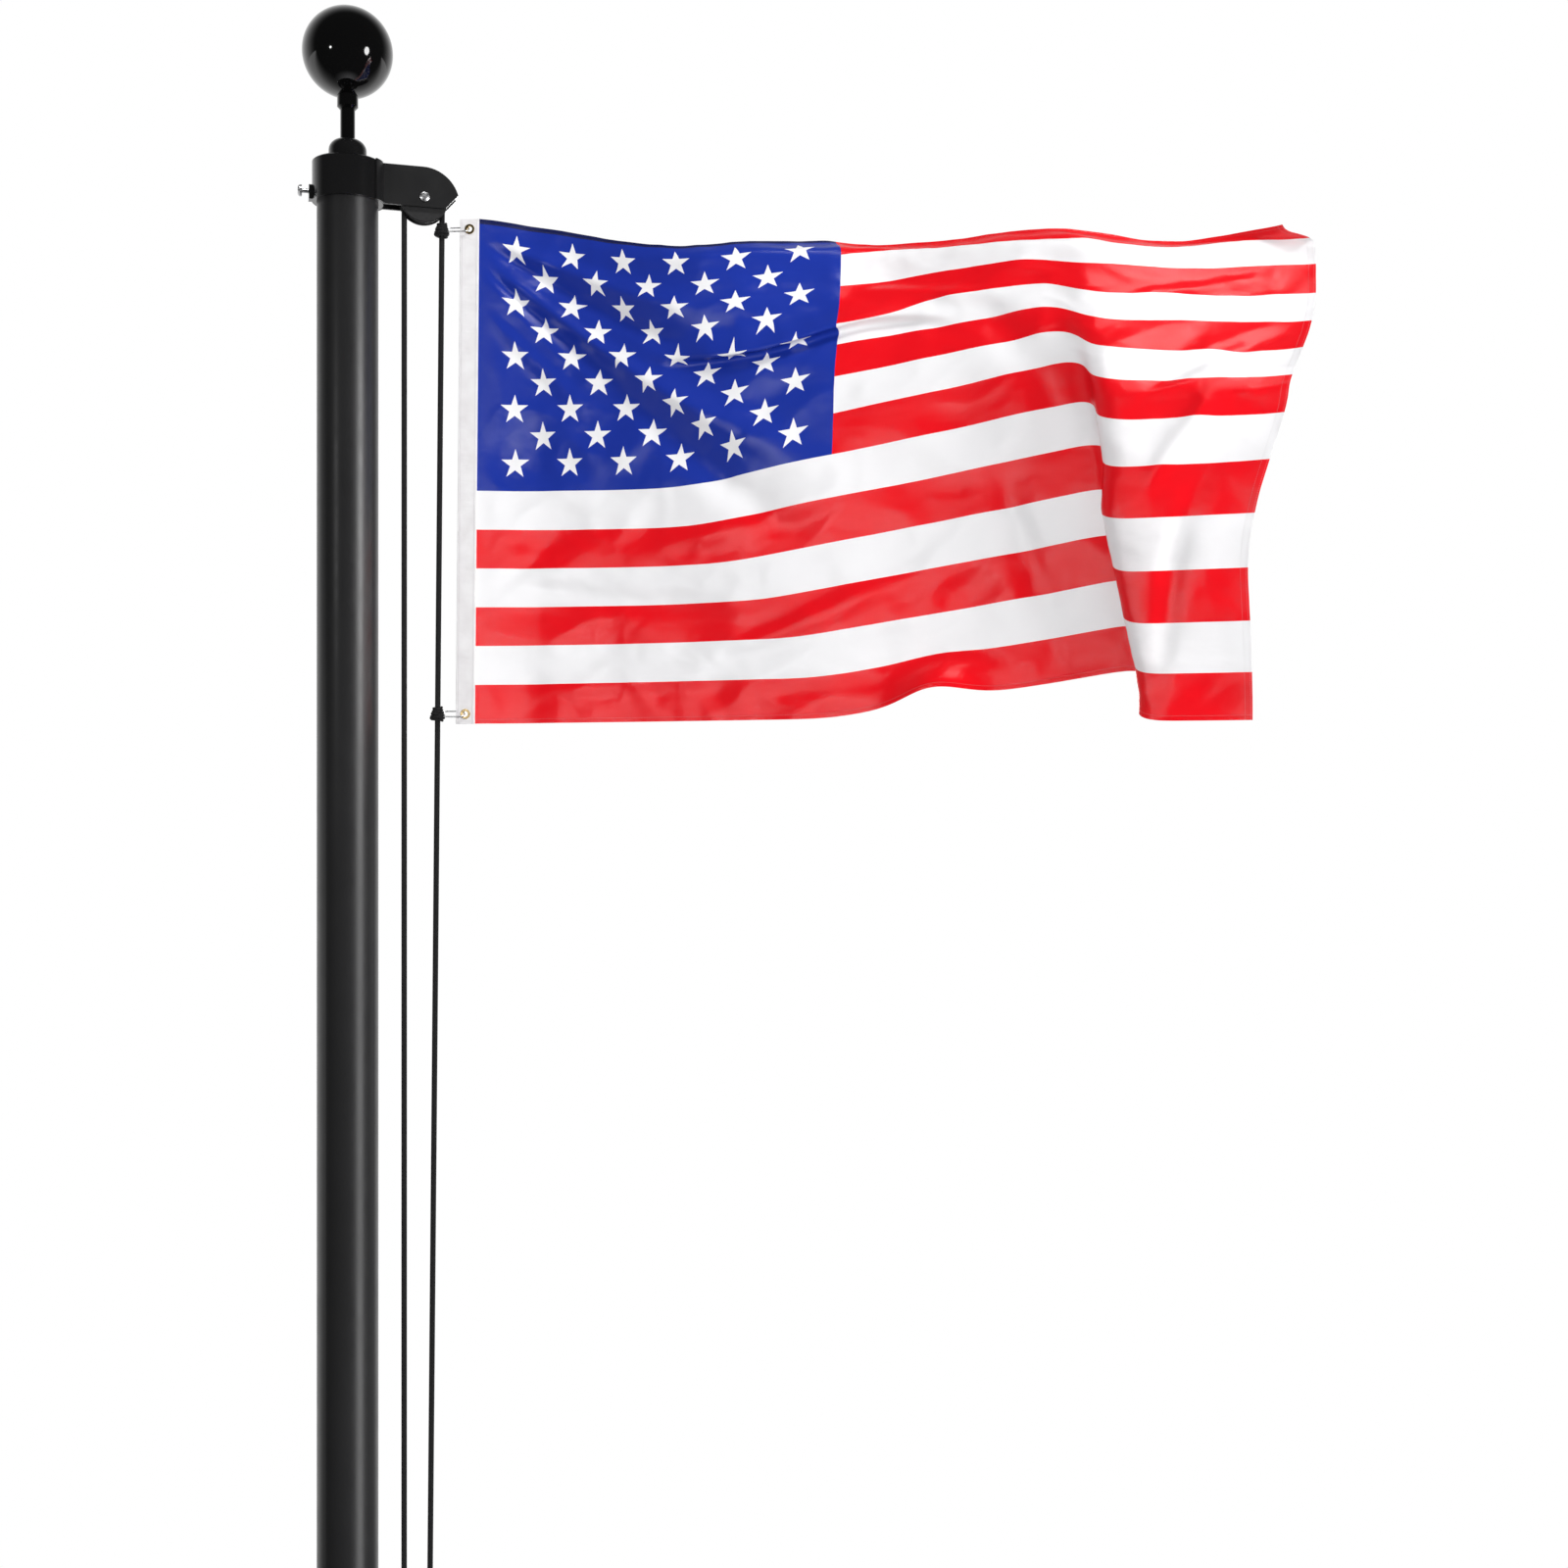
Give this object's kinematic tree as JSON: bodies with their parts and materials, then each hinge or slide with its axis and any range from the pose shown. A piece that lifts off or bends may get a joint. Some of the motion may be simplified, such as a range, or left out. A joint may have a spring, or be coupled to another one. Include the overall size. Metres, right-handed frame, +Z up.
{
  "type": "flagpole",
  "caption": "Black tubular flagpole with a ball finial, fixed pulley truck, rope halyard on a cleat, bolted base flange and a flying stars-and-stripes flag.",
  "frame": {"origin": "centre of the base flange's underside, on the pole's axis, at ground level", "axes": "+Z up the pole, +X along the truck's arm towards the halyard and the flag"},
  "size_m": [1.534, 1.131, 6.382],
  "materials": {
    "pole_coat": "satin black powder coat",
    "cast_black": "semi-gloss black paint on cast aluminium",
    "gloss_black": "gloss black enamel",
    "plate_black": "satin black paint on steel plate",
    "bright_steel": "bright zinc-plated steel",
    "bare_aluminium": "mill finish",
    "sheave_nylon": "moulded grey-black nylon",
    "rope_black": "black braided polyester",
    "brass": "polished brass",
    "canvas": "white canvas tape",
    "flag_cloth": "printed nylon in red, white and blue"
  },
  "bodies": {
    "pole": {"base_shoe": "cast_black", "base_set_screws": "bright_steel", "lower_section": "pole_coat", "upper_section": "pole_coat", "splice_sleeve": "bare_aluminium", "splice_screws": "bright_steel", "cleat": "cast_black", "cleat_screws": "bright_steel", "truck_collar": "cast_black", "truck_hub": "cast_black", "finial_rod": "gloss_black", "finial_ferrule": "gloss_black", "finial_ball": "gloss_black", "clamp_screw": "bright_steel", "arm_front_cheek": "plate_black", "arm_rear_cheek": "plate_black", "arm_web": "plate_black", "axle": "bright_steel", "axle_nut": "bright_steel", "halyard": "rope_black"},
    "sheave": {"sheave": "sheave_nylon"},
    "flag_set": {"upper_knot": "rope_black", "lower_knot": "rope_black", "upper_snap_ring": "bright_steel", "lower_snap_ring": "bright_steel", "upper_grommet": "brass", "lower_grommet": "brass", "heading": "canvas", "flag": "flag_cloth"}
  },
  "joints": [
    {"name": "flag_hoist", "type": "slide", "parent": "pole", "child": "flag_set", "axis": [-0.0084, 0.0035, -1], "range_m": [0, 3.3]},
    {"name": "sheave_spin", "type": "hinge", "parent": "pole", "child": "sheave", "pos_m": [0.134, 0, 6.05], "axis": [0, 1, 0], "range_deg": [0, 5600]}
  ],
  "couplings": [
    {"joint": "sheave_spin", "follows": "flag_hoist", "rad_per_m": 29.412}
  ]
}
